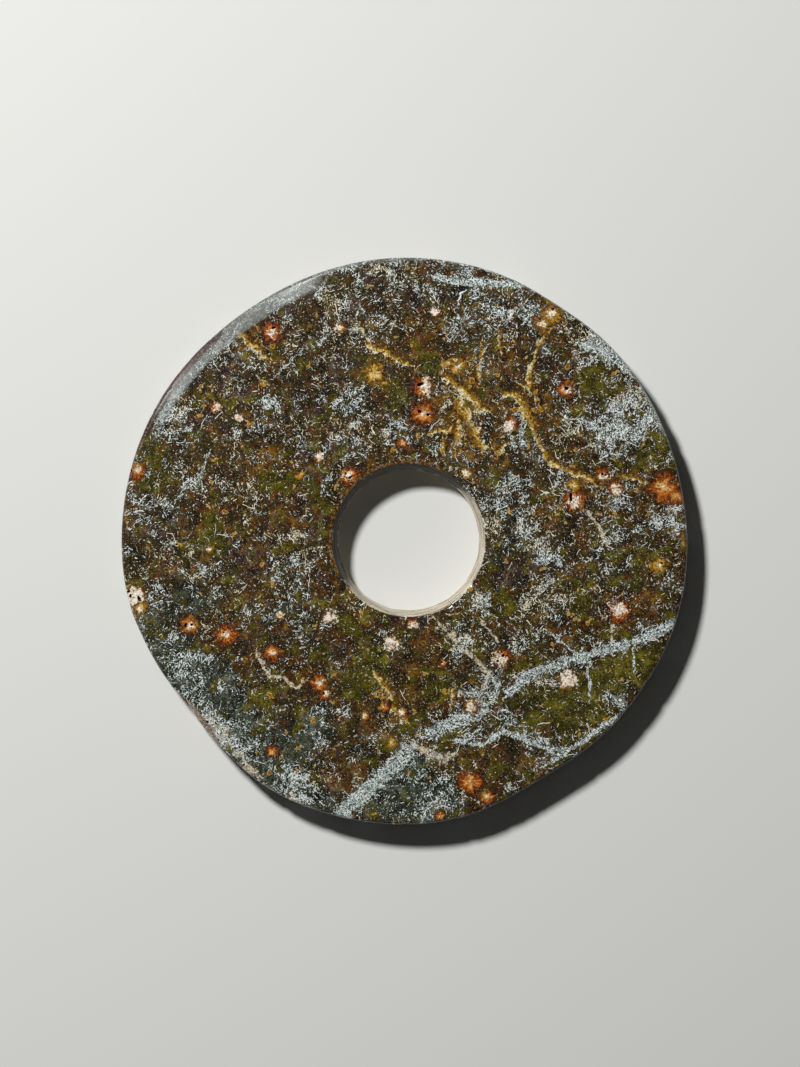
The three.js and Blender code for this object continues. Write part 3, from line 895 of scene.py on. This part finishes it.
# The bore's wall is pale turned stone; its upper part on the side away from the lamp is painted dark, which
# is painted shade.
turning = jade.noise(jade.vector("MULTIPLY", where, (0.12, 0.12, 2.2)), 1.0, 3, 0.7, push=66.0)
WALL = stops((0.34, 116, 100, 76), (0.46, 176, 165, 140), (0.58, 222, 214, 196))
SHADED_WALL = stops((0.34, 18, 17, 13), (0.46, 40, 41, 34), (0.58, 92, 94, 82))
in_bore = jade.ease(jade.field("bore") + fray * 0.7 + blotch * 0.7, 0.35, 0.65)
soaked = jade.ease(jade.field("soaked") + blotch * 1.4, 0.3, 0.7)
turned = turning * 0.7 + grit * 0.3
wall = jade.blend(soaked, jade.ramp(WALL, turned), jade.ramp(SHADED_WALL, turned))
colour = jade.blend(in_bore * 0.92, colour, wall)
# The pits are painted near black: partly their own dark inside, partly painted shade in the hollows.
PIT_DARK_AND_SHADE = shade(12, 9, 6)
in_pit = jade.ease(jade.field("pit") + fray * 0.3, -0.12, 0.06)
colour = jade.blend(in_pit, colour, PIT_DARK_AND_SHADE)

# The glassy stone takes a soft polish, and the felt, the hearts, the worn edge and the bore are duller.
POLISH = 0.22
WORN_ROUGHNESS = 0.58
BORE_ROUGHNESS = 0.62
JADE_IOR = 1.6
rough = POLISH + felt.least(1.0) * 0.12 + in_heart * 0.25
rough = rough.greatest(jade.field("worn") * (WORN_ROUGHNESS + fray * 0.4))
rough = rough.greatest(jade.ease(jade.field("bore"), 0.0, 0.2) * BORE_ROUGHNESS)
surface = jade.node("ShaderNodeBsdfPrincipled", {}, out="BSDF", Base_Color=colour, Roughness=rough,
                    IOR=JADE_IOR)
jade.node("ShaderNodeOutputMaterial", {}, surface)

mesh.materials.append(jade.material)
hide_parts("bi_disc")
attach(disc, "root")

# ---------------------------------------------------------------------------------------------
# The studio: a pale table, one soft lamp from the upper left, and a camera straight above.
TABLE_SIZE = 3.0
TABLE_DROP = 0.0002
PALE_GREY = shade(226, 226, 222)
bpy.ops.mesh.primitive_plane_add(size=TABLE_SIZE, location=(0, 0, -TABLE_DROP))
table = bpy.context.object
table.name = "table"
pale = Finish("pale_table")
paper = pale.node("ShaderNodeBsdfPrincipled", {}, out="BSDF", Base_Color=PALE_GREY, Roughness=0.8)
pale.node("ShaderNodeOutputMaterial", {}, paper)
table.data.materials.append(pale.material)

LAMP_DISTANCE = 1.6
LAMP_SIZE = 0.22
LAMP_POWER = 28
lamp_turn, lamp_rise = radians(129), radians(48)
towards_lamp = Vector((cos(lamp_turn) * cos(lamp_rise), sin(lamp_turn) * cos(lamp_rise), sin(lamp_rise)))
lamp = bpy.data.lights.new("lamp", "AREA")
lamp.shape = "DISK"
lamp.size = LAMP_SIZE
lamp.energy = LAMP_POWER
lamp_object = bpy.data.objects.new("lamp", lamp)
lamp_object.location = towards_lamp * LAMP_DISTANCE
lamp_object.rotation_euler = towards_lamp.to_track_quat("Z", "Y").to_euler()
bpy.context.scene.collection.objects.link(lamp_object)

ROOM_GLOW = 0.035
room = bpy.data.worlds.new("room")
room.use_nodes = True
room.node_tree.nodes["Background"].inputs["Color"].default_value = (1, 1, 1, 1)
room.node_tree.nodes["Background"].inputs["Strength"].default_value = ROOM_GLOW
bpy.context.scene.world = room
bpy.context.scene.view_settings.view_transform = "Standard"

VIEW_MIDDLE = Vector((-1.7 * MM, 2.5 * MM, THICKNESS * MM))
VIEW_WIDTH = 0.2676
CAMERA_HEIGHT = 1.6
camera = bpy.data.cameras.new("camera")
camera.sensor_fit = "HORIZONTAL"
camera.lens = camera.sensor_width * CAMERA_HEIGHT / VIEW_WIDTH
camera_object = bpy.data.objects.new("camera", camera)
camera_object.location = VIEW_MIDDLE + Vector((0, 0, CAMERA_HEIGHT))
bpy.context.scene.collection.objects.link(camera_object)
bpy.context.scene.camera = camera_object
